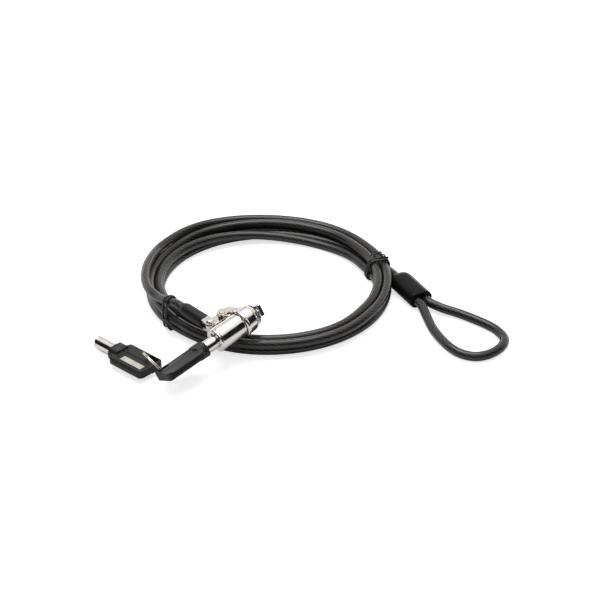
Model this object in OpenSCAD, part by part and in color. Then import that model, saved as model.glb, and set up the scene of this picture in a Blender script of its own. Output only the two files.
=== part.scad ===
// Laptop cable lock: a coiled cable with an anchor loop, a T-bar lock on a hinged
// link, the key in the lock and a spare key on the same ring.

/* [Cable] */
// Outer diameter of the jacketed cable
cable_d = 4.4; // [4.2:0.05:4.45]
// Centre distance of neighbouring strands, side by side and one above the other
strand_pitch = 4.6; // [4.6:0.05:4.7]
// Radius at which the cable enters the coil
coil_r = 61.2; // [60.8:0.1:61.6]
// Diameter of the twist tie's wire
tie_d = 1.1; // [0.9:0.1:1.1]

/* [Ferrules] */
// Diameter of the crimp sleeve at the lock end
lock_ferrule_d = 6.7; // [6.2:0.1:6.9]
// Length of the crimp sleeve at the lock end
lock_ferrule_len = 17.5; // [14:0.5:18]
// Width of the anchor loop's ferrule
eye_ferrule_w = 10.8; // [10.4:0.1:11.2]
// Height of the anchor loop's ferrule
eye_ferrule_h = 7.6; // [7.2:0.1:7.8]
// Length of the anchor loop's ferrule
eye_ferrule_len = 24; // [22:0.5:25]

/* [Lock] */
// Diameter of the lock's sleeve
sleeve_d = 11.7; // [11.5:0.1:11.8]
// Length of the sleeve, from the key guide to the collar
sleeve_len = 13.9; // [13.7:0.1:13.9]
// Diameter of the neck that the collar turns on
neck_d = 10; // [9.8:0.1:10.1]
// Length of the neck
neck_len = 7.4; // [7.2:0.1:7.6]
// Diameter of the bore through the sleeve and the neck
lock_bore_d = 8.6; // [8.5:0.05:8.7]
// Largest diameter of the swivel collar
collar_d = 14.2; // [14:0.1:14.3]
// Radial clearance of a turning fit
turn_fit = 0.06; // [0.04:0.01:0.08]
// Length of the T-bar's crosshead
tbar_len = 6.1; // [5.8:0.1:6.3]
// Thickness of the T-bar's crosshead, across its length
tbar_w = 2.6; // [2.4:0.1:2.7]

/* [Link] */
// Thickness of the flat link
link_t = 3; // [2.6:0.1:3.1]
// Half width of the link, which is the radius of its ends
link_r = 2.6; // [2.5:0.05:2.65]
// Diameter of the two hinge pins
hinge_pin_d = 2.2; // [2:0.1:2.4]

/* [Key] */
// Outer diameter of the key's barrel
barrel_d = 6.7; // [6.6:0.05:6.75]
// Inner diameter of the key's barrel
barrel_bore_d = 4.9; // [4.8:0.05:4.95]
// Length of the barrel in front of the head
barrel_len = 11.4; // [11:0.1:11.8]
// Length of the moulded head
head_len = 25.4; // [25:0.1:26]
// Width of the moulded head
head_w = 16; // [15.6:0.1:16.4]
// Thickness of the moulded head
head_t = 4.2; // [4:0.1:4.2]
// Number of pins round the key plug
pin_count = 8; // [4:4:8]
// Mean radius of the key ring
ring_r = 7.95; // [7.9:0.05:8]
// Diameter of the key ring's wire
ring_d = 1.2; // [1:0.05:1.25]

/* [Hidden] */
$fn = 48;

// The part's origin, seen from the coil's centre on the table.
origin_at = [-42.02, -71.03, 0];

// Gap between pieces of different bodies, and between two stacked faces of one body.
body_gap = 0.3;
face_gap = 0.05;

// --- Twist ties: the angle round the coil, and the box round the bundle there ---
tie_bend_r = 1.5;
left_tie_angle = 216;
left_tie_box = [51.2, 62.1, tie_d / 2, 18.6];
right_tie_angle = 14;
right_tie_box = [50.6, 66.3, tie_d / 2, 11.2];

// --- Coil: strands two wide and two high. The cable goes round twice in the lower layer, up
// the inner side, and out again on top. It sags to the table between the ties ---
rings_per_turn = 36;
coil_centre_y = 1;
coil_depth = 0.98;
coil_start_angle = 27;
coil_turns = 4.37;
layer1_z = tie_d + 0.12 + cable_d / 2;
sag = layer1_z - cable_d / 2 - 0.15;
lane_drift = 1.5;
lane_step_from = 0.92;
climb_from = 2.08;
climb_to = 2.4;
lean = 2.15;
top_lift = 3.6;
straight_len = 24;
ferrule_z = 4.2;
inner_lane = coil_r - strand_pitch - lane_drift;

function smooth(s) = let (c = max(0, min(1, s))) c * c * (3 - 2 * c);
function coil_angle(t) = coil_start_angle + 360 * t;
function from_tie(angle) = min([
    for (a = [left_tie_angle, right_tie_angle]) abs((angle - a + 540) % 360 - 180)
]);
function lower_z(t) = layer1_z - sag * smooth((from_tie(coil_angle(t)) - 8) / 35);
function lean_out(t) = lean * smooth((abs(sin(coil_angle(t))) - 0.5) / 0.4);

// A strand keeps to its lane for most of a turn and steps in by one strand at its end.
function lower_r(t) =
    let (turn = floor(t), part = t - turn)
    coil_r - strand_pitch * turn - lane_drift * smooth(part / 0.15)
        - (strand_pitch - lane_drift) * smooth((part - lane_step_from) / (1 - lane_step_from));
function upper_r(t) = inner_lane + (strand_pitch + 0.05) * smooth((t - 3) / 0.4);
function lift(t) = top_lift * smooth((t - 4.15) / 0.25);

// Radius and height above the lower layer. The climb goes round the strand beside it.
function coil_lane(t) =
    t < 2 ? [lower_r(t), 0]
    : t < climb_to ? let (a = 180 - 90 * smooth((t - climb_from) / (climb_to - climb_from)))
        [lower_r(t - 1) + strand_pitch * cos(a), strand_pitch * sin(a)]
    : t < 4 ? [upper_r(t) + lean_out(t), strand_pitch]
    : [
        upper_r(t - 1) + sqrt(pow(strand_pitch + 0.02, 2) - pow(lift(t), 2)) + lean_out(t),
        strand_pitch + lift(t)
    ];
function coil_point(t) =
    let (lane = coil_lane(t), a = coil_angle(t))
    [lane[0] * cos(a), coil_centre_y + coil_depth * lane[0] * sin(a), lower_z(t) + lane[1]];

coil_steps = round(coil_turns * rings_per_turn);
coil_end = coil_steps / rings_per_turn;
coil_end_heading = unit(coil_point(coil_end) - coil_point(coil_end - 0.01));

// The straight stretch between the anchor loop's ferrule and the first turn.
away = [sin(coil_start_angle), -cos(coil_start_angle), 0];
function stretch_point(s) =
    coil_point(0) + away * s + [0, 0, (ferrule_z - layer1_z) * smooth((s - 10) / (straight_len - 12))];
stretch_steps = 6;
coil_route = concat(
    [for (i = [stretch_steps:-1:1]) stretch_point(i * straight_len / stretch_steps)],
    [for (i = [0:coil_steps]) coil_point(i / rings_per_turn)]
);

// --- Anchor loop: out along the strand nearer the coil, and back along the far one ---
eye_ferrule_at = stretch_point(straight_len);
eye_mouth_off = 2.6;
across = [cos(coil_start_angle), sin(coil_start_angle), 0];
far_mouth = eye_ferrule_at + away * eye_ferrule_len + across * eye_mouth_off;
near_mouth = eye_ferrule_at + away * eye_ferrule_len - across * eye_mouth_off;
eye_route = [
    near_mouth, near_mouth + away * 4.5, [78.5, -30, 2.8], [81, -40, 2.3], [86, -52, 2.3],
    [91.5, -59.5, 2.3], [98.5, -62.8, 2.3], [105.5, -61, 2.3], [111.5, -55.5, 2.3],
    [114.4, -48.5, 2.3], [112.5, -41.5, 2.3], [107.5, -34.8, 2.3], [96, -25.5, 2.4],
    [86.5, -20.8, 3.2], far_mouth + away * 4.5, far_mouth
];

// --- Lock frame: origin at the rear face, +X to the nose, +Z up ---
lock_at = [-24.16, -68.37, 14.6];
lock_pitch = 11;
lock_yaw = 42;
lock_x = [cos(lock_pitch) * cos(lock_yaw), cos(lock_pitch) * sin(lock_yaw), sin(lock_pitch)];
lock_y = [-sin(lock_yaw), cos(lock_yaw), 0];
lock_z = cross(lock_x, lock_y);
function in_lock(p) = lock_at + p.x * lock_x + p.y * lock_y + p.z * lock_z;

// --- Link and ear ---
stud_pin_at = [5.6, 9.4];
ear_pin_at = [13.2, 9.2];
link_z = 1;
ferrule_mouth_y = 13.3;
lug_t = 1.7;
lug_gap = 0.35;
stud_lug_t = 1.1;

// --- Free stretch from the coil to the lock's ferrule ---
lead_end = in_lock([stud_pin_at.x, ferrule_mouth_y + lock_ferrule_len, link_z]);
lead_route = [
    coil_point(coil_end), [-61.1, 10.5, 11.8], [-61.9, -1, 12.3], [-60.9, -11, 12.4],
    [-58, -19.6, 12.6], [-53.2, -26.9, 13.2], [-48.2, -33.6, 15.2], lead_end + lock_y * cable_d, lead_end
];

// --- Lock, along its axis ---
bezel_t = 1.2;
neck_x = bezel_t + sleeve_len;
neck_end = neck_x + neck_len;
lock_bore = lock_bore_d / 2;
plug_x = 4.8;
shear_x = 9.8;
stator_len = 10.15;
spring_x = 13;
guide_disc_x = 21;
plate_x = neck_end;
plate_t = 1.2;
washer_t = 0.75;
guide_pin_off = 2.55;
guide_pin_end = 26.8;
spindle_r = 1.2;
crosshead_x = 27.6;
crosshead_t = 1.6;
nose_opening_r = 3.9;
tbar_turn = 62;
pin_circle_r = (barrel_d + barrel_bore_d) / 4;
pin_r = 0.42;
pin_bore_r = pin_r + turn_fit;
post_r = barrel_bore_d / 2 - 0.12;
key_guide_r = barrel_d / 2 + 0.1;
cut_depths = [0.3, 0.7, 0.5, 0.9, 0.4, 0.8, 0.6, 0.35];

// --- Key, along its barrel: the tip at x = 0, the head behind it ---
key_tip_x = 4.6;
key_len = barrel_len + head_len;
key_roll = tbar_turn - 90;
collar_len = 5.5;
collar_r = 4.8;
collar_flat = barrel_d + 0.1;
barrel_socket = 4;
nub_w = 1.2;
nub_len = 1.7;
nub_r = barrel_d / 2 + 0.65;
inlay_size = [13.8, 3.4, 0.6];
inlay_at = [-key_len + 2.6, -5.3];
slot_len = 6;
slot_end_web = 1.4;
slot_y = 4.9;
slot_half_w = 1.85;

// --- Spare key and key ring ---
key_end = in_lock([key_tip_x - key_len, 0, 0]);
spare_end_off = [-5.8404, 11.9201];
spare_end_at = [key_end.x + spare_end_off.x, key_end.y + spare_end_off.y, 4.3];
spare_yaw = 138;
spare_pitch = asin((nub_r + 0.01 - spare_end_at.z) / key_len);
ring_off = [-3.9904, 12.1201];
ring_at = [key_end.x + ring_off.x, key_end.y + ring_off.y, 7.15];
ring_tilt = 55;
ring_yaw = 33;

// Least gap between stretches of cable that aren't neighbours along the route.
function route_gap(route, skip) = min([
    for (i = [0:len(route) - 1], j = [0:len(route) - 1])
        if (j - i > skip) norm(route[i] - route[j])
]) - cable_d;
function gap_between(a, b, skip) = min([
    for (i = [0:len(a) - 1 - skip], j = [skip:len(b) - 1]) norm(a[i] - b[j])
]) - cable_d;
echo(coil_gap = route_gap(coil_route, 12));
echo(lead_gap = gap_between(coil_route, lead_route, 1));

module on_table() {
    translate(-origin_at) children();
}

module lock_frame() {
    on_table() translate(lock_at) rotate([0, -lock_pitch, lock_yaw]) children();
}

module key_frame() {
    lock_frame() translate([key_tip_x, 0, 0]) rotate([key_roll, 0, 0]) children();
}

module spare_frame() {
    on_table() translate(spare_end_at) rotate([180, -spare_pitch, spare_yaw])
        translate([key_len, 0, 0]) children();
}

// Lays a cylinder or a turned shape along X.
module along_x() {
    rotate([0, 90, 0]) children();
}

// Sweeps a round tube along a route, each ring square to the route there. The end rings are
// square to the headings given for them.
function unit(v) = v / norm(v);
function heading(route, i, first, last) =
    i == 0 && first != undef ? first
    : i == len(route) - 1 && last != undef ? last
    : unit(route[min(i + 1, len(route) - 1)] - route[max(i - 1, 0)]);
module tube(route, d, sides, first, last) {
    n = len(route);
    points = [
        for (i = [0:n - 1])
            let (
                t = heading(route, i, first, last),
                side = unit(cross(abs(t.z) > 0.99 ? [1, 0, 0] : [0, 0, 1], t)),
                up = cross(t, side)
            )
            for (k = [0:sides - 1])
                route[i] + d / 2 * (cos(360 * k / sides) * side + sin(360 * k / sides) * up)
    ];
    walls = [
        for (i = [0:n - 2], k = [0:sides - 1])
            let (a = i * sides + k, b = i * sides + (k + 1) % sides)
            each [[a, a + sides, b], [b, a + sides, b + sides]]
    ];
    first_cap = [for (k = [1:sides - 2]) [0, k, k + 1]];
    end = (n - 1) * sides;
    last_cap = [for (k = [1:sides - 2]) [end, end + k + 1, end + k]];
    polyhedron(points, concat(walls, first_cap, last_cap), convexity = 10);
}

// A smooth curve through the given points, which become its corners every few steps.
function spline(p, steps) = concat([
    for (i = [0:len(p) - 2], s = [0:steps - 1])
        let (
            a = p[max(i - 1, 0)], b = p[i], c = p[i + 1], e = p[min(i + 2, len(p) - 1)],
            u = s / steps
        )
        0.5 * (2 * b + (c - a) * u + (2 * a - 5 * b + 4 * c - e) * u * u + (3 * b - a - 3 * c + e) * u * u * u)
], [p[len(p) - 1]]);

module cable_coil() {
    color([0.12, 0.12, 0.13]) on_table() tube(coil_route, cable_d, 8, -away, coil_end_heading);
}

module cable_lead() {
    color([0.12, 0.12, 0.13]) on_table()
        tube(spline(lead_route, 2), cable_d, 8, coil_end_heading, -lock_y);
}

module eye_cable() {
    color([0.12, 0.12, 0.13]) on_table() tube(spline(eye_route, 2), cable_d, 8, away, -away);
}

// The anchor loop's ferrule: a flat-sided sleeve with rounded shoulders at the coil's end.
module eye_ferrule() {
    shoulder = 4;
    half_flat = (eye_ferrule_w - eye_ferrule_h) / 2;
    color([0.07, 0.07, 0.08]) on_table()
        translate(eye_ferrule_at + away * face_gap) rotate([0, 0, coil_start_angle - 90])
            intersection() {
                along_x() linear_extrude(eye_ferrule_len - 2 * face_gap) {
                    translate([0, half_flat]) circle(d = eye_ferrule_h);
                    translate([0, -half_flat]) circle(d = eye_ferrule_h);
                    square([eye_ferrule_h, 2 * half_flat], center = true);
                }
                translate([0, 0, -eye_ferrule_h]) linear_extrude(2 * eye_ferrule_h) {
                    translate([shoulder, eye_ferrule_w / 2 - shoulder]) circle(r = shoulder);
                    translate([shoulder, shoulder - eye_ferrule_w / 2]) circle(r = shoulder);
                    translate([0, shoulder - eye_ferrule_w / 2]) square([shoulder, eye_ferrule_w - 2 * shoulder]);
                    translate([shoulder, -eye_ferrule_w / 2]) square([eye_ferrule_len, eye_ferrule_w]);
                }
            }
}

// The crimp sleeve, with the socket in its mouth that the stud is pressed into.
module lock_ferrule() {
    socket_depth = 5;
    color([0.07, 0.07, 0.08]) lock_frame()
        translate([stud_pin_at.x, ferrule_mouth_y, link_z]) rotate([-90, 0, 0]) difference() {
            cylinder(d = lock_ferrule_d, h = lock_ferrule_len - face_gap);
            translate([0, 0, -1]) cylinder(d = cable_d, h = socket_depth + 1);
        }
}

// A wire box with bent corners, in the plane of x and z: [x from, x to, z from, z to].
module tie_loop(box) {
    x0 = box[0] + tie_bend_r;
    x1 = box[1] - tie_bend_r;
    z0 = box[2] + tie_bend_r;
    z1 = box[3] - tie_bend_r;
    for (z = [box[2], box[3]]) {
        translate([x0, 0, z]) along_x() cylinder(d = tie_d, h = x1 - x0, $fn = 16);
    }
    for (x = [box[0], box[1]]) {
        translate([x, 0, z0]) cylinder(d = tie_d, h = z1 - z0, $fn = 16);
    }
    corners = [[x1, z1, 0], [x0, z1, 90], [x0, z0, 180], [x1, z0, 270]];
    for (c = corners) {
        translate([c[0], 0, c[1]]) rotate([90, 0, 0]) rotate([0, 0, c[2]])
            rotate_extrude(angle = 90, $fn = 32) translate([tie_bend_r, 0]) circle(d = tie_d, $fn = 16);
    }
}

// The twisted end of a tie: a knot with two tails.
module tie_knot(tails) {
    sphere(d = 2.4 * tie_d, $fn = 24);
    for (a = tails) {
        rotate([0, 0, a[0]]) rotate([0, a[1], 0]) cylinder(d = tie_d, h = a[2], $fn = 16);
    }
}

module left_tie() {
    color([0.05, 0.05, 0.05]) on_table() rotate([0, 0, left_tie_angle]) {
        tie_loop(left_tie_box);
        translate([left_tie_box[1] + 0.2, 0, 5]) tie_knot([[60, 100, 6], [100, 80, 5]]);
    }
}

module right_tie() {
    color([0.05, 0.05, 0.05]) on_table() rotate([0, 0, right_tie_angle]) {
        tie_loop(right_tie_box);
        translate([57.5, 0, right_tie_box[3] + 0.45]) tie_knot([[48, 74, 6], [112, 68, 7]]);
    }
}

// The stud: a shank in the ferrule's socket, a rounded shoulder, and two eyes round the link.
module cable_stud() {
    shoulder_y = ferrule_mouth_y - face_gap;
    shoulder_t = 0.45;
    eye_z = link_t / 2 + body_gap;
    color([0.75, 0.74, 0.72]) lock_frame() translate([stud_pin_at.x, 0, link_z]) {
        translate([0, shoulder_y, 0]) rotate([-90, 0, 0]) cylinder(d = cable_d - 0.1, h = 4.5);
        difference() {
            union() {
                translate([0, shoulder_y - shoulder_t, 0]) rotate([-90, 0, 0]) cylinder(r = 2.2, h = shoulder_t);
                for (s = [-1, 1]) {
                    translate([0, 0, s * (eye_z + stud_lug_t / 2)]) {
                        translate([0, stud_pin_at.y, 0]) cylinder(r = 2.2, h = stud_lug_t, center = true);
                        translate([-2.2, stud_pin_at.y, -stud_lug_t / 2])
                            cube([4.4, shoulder_y - stud_pin_at.y - 0.1, stud_lug_t]);
                    }
                }
            }
            translate([0, stud_pin_at.y, -5]) cylinder(d = hinge_pin_d, h = 10);
        }
    }
}

// A flat bar with round ends and a hole at each.
module link_arm() {
    reach = ear_pin_at - stud_pin_at;
    color([0.78, 0.77, 0.74]) lock_frame() translate([0, 0, link_z - link_t / 2]) difference() {
        union() {
            for (at = [stud_pin_at, ear_pin_at]) {
                translate(at) cylinder(r = link_r, h = link_t);
            }
            translate(stud_pin_at) rotate([0, 0, atan2(reach.y, reach.x)])
                translate([0, -link_r, 0]) cube([norm(reach), 2 * link_r, link_t]);
        }
        for (at = [stud_pin_at, ear_pin_at]) {
            translate([at.x, at.y, -1]) cylinder(r = hinge_pin_d / 2 + face_gap, h = link_t + 2);
        }
    }
}

// A rivet along Z through the stud's eyes and the link, with a low head at each end.
module stud_rivet() {
    half = link_t / 2 + body_gap + stud_lug_t;
    color([0.8, 0.79, 0.76]) lock_frame() translate([stud_pin_at.x, stud_pin_at.y, link_z]) {
        cylinder(d = hinge_pin_d - 2 * face_gap, h = 2 * half + 2 * face_gap, center = true);
        for (s = [0, 1]) {
            mirror([0, 0, s]) translate([0, 0, half + face_gap]) {
                cylinder(r = 1.9, h = 0.4);
                translate([0, 0, 0.4]) cylinder(r1 = 1.9, r2 = 1.3, h = 0.4);
            }
        }
    }
}

// The nose casting: a ring that turns on the neck, with two lugs that form its ear.
module swivel_collar() {
    r = collar_d / 2;
    body_r = 6.75;
    front_r = 6.1;
    bore_r = neck_d / 2 + turn_fit;
    lug_from = link_z + link_t / 2 + lug_gap;
    lug_under = link_z - link_t / 2 - lug_gap - lug_t;
    gap_x = neck_x + body_gap;
    color([0.8, 0.78, 0.74]) lock_frame() difference() {
        union() {
            along_x() rotate_extrude() polygon([
                [bore_r, gap_x], [r - 0.4, gap_x], [r, gap_x + 0.4], [r, gap_x + 1.2],
                [body_r, gap_x + 1.7], [body_r - 0.15, neck_end - 1.5],
                [front_r, neck_end - face_gap - 0.1], [bore_r, neck_end - face_gap - 0.1]
            ]);
            for (z = [lug_from, lug_under]) {
                translate([0, 0, z]) linear_extrude(lug_t) {
                    translate(ear_pin_at) circle(r = link_r);
                    polygon([
                        [ear_pin_at.x - 0.6, ear_pin_at.y + link_r - 0.07], [ear_pin_at.x, ear_pin_at.y - link_r],
                        [gap_x, ear_pin_at.y - link_r - 0.1], [gap_x, 2.5], [gap_x + 2.4, 2.5],
                        [gap_x + 4.6, 5.2], [gap_x + 2.2, ear_pin_at.y + 0.6]
                    ]);
                }
            }
        }
        translate([ear_pin_at.x, ear_pin_at.y, -5]) cylinder(d = hinge_pin_d, h = 20);
        along_x() cylinder(r = bore_r, h = 40);
        translate([gap_x - 0.01, 0, 0]) rotate([40, 0, 0])
            linear_extrude(12) polygon([[-0.1, -1], [1.5, 0], [-0.1, 1]]);
    }
}

module ear_pin() {
    half = link_t / 2 + lug_gap + lug_t;
    color([0.8, 0.79, 0.76]) lock_frame() translate([ear_pin_at.x, ear_pin_at.y, link_z]) {
        cylinder(d = hinge_pin_d - 2 * face_gap, h = 2 * half + 2 * face_gap, center = true);
        for (s = [0, 1]) {
            mirror([0, 0, s]) translate([0, 0, half + face_gap]) cylinder(r = 1.6, h = 0.35);
        }
    }
}

// The housing: a sleeve with a rolled rear edge and a thinner neck, bored right through.
module lock_sleeve() {
    r = sleeve_d / 2;
    neck_r = neck_d / 2;
    edge = 0.6;
    color([0.82, 0.8, 0.77]) lock_frame() along_x() rotate_extrude() polygon([
        [lock_bore, bezel_t], [r - edge, bezel_t], [r, bezel_t + edge], [r, neck_x - 0.3],
        [r - 0.3, neck_x], [neck_r, neck_x], [neck_r, neck_end - face_gap], [lock_bore, neck_end - face_gap]
    ]);
}

// The key guide: a ring at the rear end, notched for the nub on the key's barrel in both of
// the positions where the key comes out.
module rear_bezel() {
    r = sleeve_d / 2 + 0.1;
    color([0.84, 0.82, 0.78]) lock_frame() difference() {
        along_x() rotate_extrude() polygon([
            [key_guide_r, 0.3], [key_guide_r + 0.3, 0], [r - 0.4, 0], [r, 0.4], [r, bezel_t - face_gap],
            [key_guide_r, bezel_t - face_gap]
        ]);
        for (turn = [0, 90]) {
            rotate([key_roll + turn, 0, 0]) translate([-1, -nub_w / 2 - 0.15, 0])
                cube([4, nub_w + 0.3, nub_r + 0.15]);
        }
    }
}

// Places the children once for each pin, lying along X on the pin circle.
module each_pin() {
    for (k = [0:pin_count - 1]) {
        rotate([key_roll + 360 * (k + 0.5) / pin_count, 0, 0]) translate([0, 0, pin_circle_r]) children();
    }
}

module pin_stator() {
    r = lock_bore - 0.02;
    color([0.72, 0.6, 0.35]) lock_frame() translate([shear_x + face_gap, 0, 0]) difference() {
        along_x() cylinder(r = r, h = stator_len);
        along_x() translate([0, 0, -1]) cylinder(r = spindle_r + 0.1, h = stator_len + 2);
        each_pin() along_x() translate([0, 0, -1]) cylinder(r = pin_bore_r, h = stator_len);
    }
}

// The rotor: a centre post, and a rim with a notch that the key's nub turns.
module key_plug() {
    r = lock_bore - turn_fit;
    rim_x = 3;
    post_x = bezel_t - 0.4;
    color([0.72, 0.6, 0.35]) lock_frame() difference() {
        along_x() rotate_extrude() polygon([
            [0, post_x], [post_r, post_x], [post_r, plug_x], [key_guide_r, plug_x], [key_guide_r, rim_x],
            [r, rim_x], [r, shear_x], [0, shear_x]
        ]);
        rotate([key_roll, 0, 0]) translate([rim_x - 1, -nub_w / 2 - 0.15, post_r + 0.6])
            cube([plug_x - rim_x + 0.9, nub_w + 0.3, 4]);
        each_pin() translate([plug_x - 0.5, 0, 0]) along_x() cylinder(r = pin_bore_r, h = shear_x - plug_x + 1);
        translate([shear_x - 3, 0, 0]) along_x() cylinder(r = spindle_r + face_gap, h = 4);
    }
}

module key_pins() {
    pin_end = shear_x - face_gap / 2;
    color([0.78, 0.66, 0.4]) lock_frame()
        for (k = [0:pin_count - 1]) {
            from = key_tip_x + face_gap - cut_depths[k];
            rotate([key_roll + 360 * (k + 0.5) / pin_count, 0, 0])
                translate([from, 0, pin_circle_r]) along_x() cylinder(r = pin_r, h = pin_end - from);
        }
}

module driver_pins() {
    from = shear_x + face_gap;
    color([0.7, 0.7, 0.72]) lock_frame()
        each_pin() translate([from, 0, 0]) along_x() cylinder(r = pin_r, h = spring_x - face_gap - from);
}

// Small compression springs, each a wire wound as a helix.
module pin_springs() {
    spring_len = shear_x + stator_len - spring_x - 1.2;
    turns = 6;
    steps = 8;
    wire = 0.16;
    coil_mid_r = pin_r - wire / 2;
    helix = [
        for (i = [0:turns * steps])
            [coil_mid_r * cos(360 * i / steps), coil_mid_r * sin(360 * i / steps), spring_len * i / (turns * steps)]
    ];
    color([0.75, 0.75, 0.77]) lock_frame()
        each_pin() translate([spring_x + wire / 2, 0, 0]) along_x() tube(helix, wire, 4);
}

// The flange that keeps the collar on the neck.
module front_plate() {
    color([0.8, 0.78, 0.74]) lock_frame() translate([plate_x, 0, 0]) along_x() difference() {
        cylinder(r1 = 5.9, r2 = 5.6, h = plate_t);
        translate([0, 0, -1]) cylinder(r = nose_opening_r, h = plate_t + 2);
    }
}

module rubber_washer() {
    color([0.04, 0.04, 0.04]) lock_frame() translate([plate_x + plate_t + face_gap, 0, 0]) along_x() difference() {
        cylinder(r = 5.3, h = washer_t);
        translate([0, 0, -1]) cylinder(r = nose_opening_r, h = washer_t + 2);
    }
}

// A disc inside the neck with two pins that reach out beside the T-bar's shank.
module slot_guide_pins() {
    disc_end = neck_end - face_gap;
    color([0.7, 0.7, 0.72]) lock_frame() difference() {
        union() {
            translate([guide_disc_x, 0, 0]) along_x() cylinder(r = lock_bore - 0.02, h = disc_end - guide_disc_x);
            rotate([tbar_turn, 0, 0]) for (s = [-1, 1]) {
                translate([guide_disc_x, s * guide_pin_off - 0.65, -tbar_w / 2])
                    cube([guide_pin_end - guide_disc_x, 1.3, tbar_w]);
            }
        }
        translate([guide_disc_x - 1, 0, 0]) along_x() cylinder(r = spindle_r + turn_fit, h = 10);
    }
}

// The spindle with the crosshead that turns behind the slot.
module tbar_spindle() {
    color([0.5, 0.5, 0.5]) lock_frame() rotate([tbar_turn, 0, 0]) {
        translate([shear_x - 3 + face_gap, 0, 0]) along_x()
            cylinder(r = spindle_r, h = crosshead_x - shear_x + 3);
        translate([crosshead_x, 0, 0]) intersection() {
            along_x() cylinder(d = tbar_len, h = crosshead_t);
            translate([0, -tbar_len, -tbar_w / 2]) cube([crosshead_t, 2 * tbar_len, tbar_w]);
        }
    }
}

// A tubular key's barrel: its end is cut to a depth for each pin, and a nub stands on it.
module barrel_shape() {
    back = barrel_len + barrel_socket;
    difference() {
        union() {
            translate([-back, 0, 0]) along_x() cylinder(d = barrel_d, h = back);
            translate([-0.2 - nub_len, -nub_w / 2, pin_circle_r]) cube([nub_len, nub_w, nub_r - pin_circle_r]);
        }
        translate([-back - 1, 0, 0]) along_x() cylinder(d = barrel_bore_d, h = back + 2);
        for (k = [0:pin_count - 1]) {
            rotate([360 * (k + 0.5) / pin_count, 0, 0])
                translate([-cut_depths[k], -0.5, 0]) cube([2, 1, barrel_d]);
        }
    }
}

// A rectangle with round corners, from x = 0, centred on y.
module round_rect(l, w, r) {
    translate([r, -w / 2]) square([l - 2 * r, w]);
    translate([0, r - w / 2]) square([l, w - 2 * r]);
    for (x = [r, l - r], y = [r - w / 2, w / 2 - r]) {
        translate([x, y]) circle(r = r);
    }
}

// The slot for the key ring, right through the head beside its far corner.
module ring_slot() {
    translate([slot_end_web - key_len, slot_y - slot_half_w, -head_t])
        cube([slot_len, 2 * slot_half_w, 2 * head_t]);
}

// The moulded head: a flat grip with a round collar, a framed face and the inlay's pocket.
module head_shape() {
    plate_from = 3;
    plate_len = head_len - plate_from;
    corner = 3.2;
    bevel = 1;
    frame_w = 1.5;
    face_depth = 0.45;
    difference() {
        union() {
            translate([-key_len, 0, -head_t / 2]) difference() {
                linear_extrude(head_t) round_rect(plate_len, head_w, corner);
                for (y = [-1, 1], z = [0, 1]) {
                    translate([-1, y * head_w / 2, z * head_t]) rotate([45, 0, 0])
                        cube([2 * key_len, bevel * sqrt(2), bevel * sqrt(2)], center = true);
                }
            }
            translate([-barrel_len - collar_len, 0, 0]) intersection() {
                along_x() cylinder(r = collar_r, h = collar_len);
                translate([-1, -collar_r, -collar_flat / 2]) cube([collar_len + 2, 2 * collar_r, collar_flat]);
            }
        }
        translate([-barrel_len - barrel_socket - face_gap, 0, 0]) along_x()
            cylinder(d = barrel_d + 2 * face_gap, h = barrel_socket + 1);
        translate([-key_len + frame_w, 0, -head_t / 2 - 1]) intersection() {
            linear_extrude(1 + face_depth) round_rect(plate_len - frame_w - 4, head_w - 2 * frame_w - 1, 2);
            translate([0, -head_w, 0]) cube([plate_len, head_w + slot_y - slot_half_w - 2, 2]);
        }
        translate([inlay_at.x - face_gap, inlay_at.y - face_gap, -head_t / 2 - 1])
            cube([inlay_size.x + 2 * face_gap, inlay_size.y + 2 * face_gap, 1 + face_depth + inlay_size.z - 0.2]);
        translate([-key_len - 1, -head_w, head_t / 2 - 0.35]) cube([plate_len - 3, head_w, 2]);
        ring_slot();
    }
}

module inlay_shape() {
    translate([inlay_at.x, inlay_at.y, -head_t / 2 + 0.15]) cube([inlay_size.x, inlay_size.y, inlay_size.z]);
}

module key_barrel() {
    color([0.8, 0.79, 0.78]) key_frame() barrel_shape();
}

module key_head() {
    color([0.09, 0.09, 0.1]) key_frame() head_shape();
}

module key_inlay() {
    color([0.72, 0.7, 0.66]) key_frame() inlay_shape();
}

module key_ring() {
    color([0.8, 0.8, 0.8]) on_table() translate(ring_at) rotate([0, ring_tilt, ring_yaw])
        rotate_extrude($fn = 72) translate([ring_r, 0]) circle(d = ring_d, $fn = 20);
}

module spare_key_barrel() {
    color([0.8, 0.79, 0.78]) spare_frame() barrel_shape();
}

module spare_key_head() {
    color([0.09, 0.09, 0.1]) spare_frame() head_shape();
}

module spare_key_inlay() {
    color([0.72, 0.7, 0.66]) spare_frame() inlay_shape();
}

cable_coil();
cable_lead();
eye_cable();
eye_ferrule();
lock_ferrule();
left_tie();
right_tie();
cable_stud();
link_arm();
stud_rivet();
swivel_collar();
ear_pin();
lock_sleeve();
rear_bezel();
pin_stator();
pin_springs();
front_plate();
rubber_washer();
slot_guide_pins();
driver_pins();
key_plug();
tbar_spindle();
key_pins();
key_barrel();
key_head();
key_inlay();
key_ring();
spare_key_barrel();
spare_key_head();
spare_key_inlay();
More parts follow.
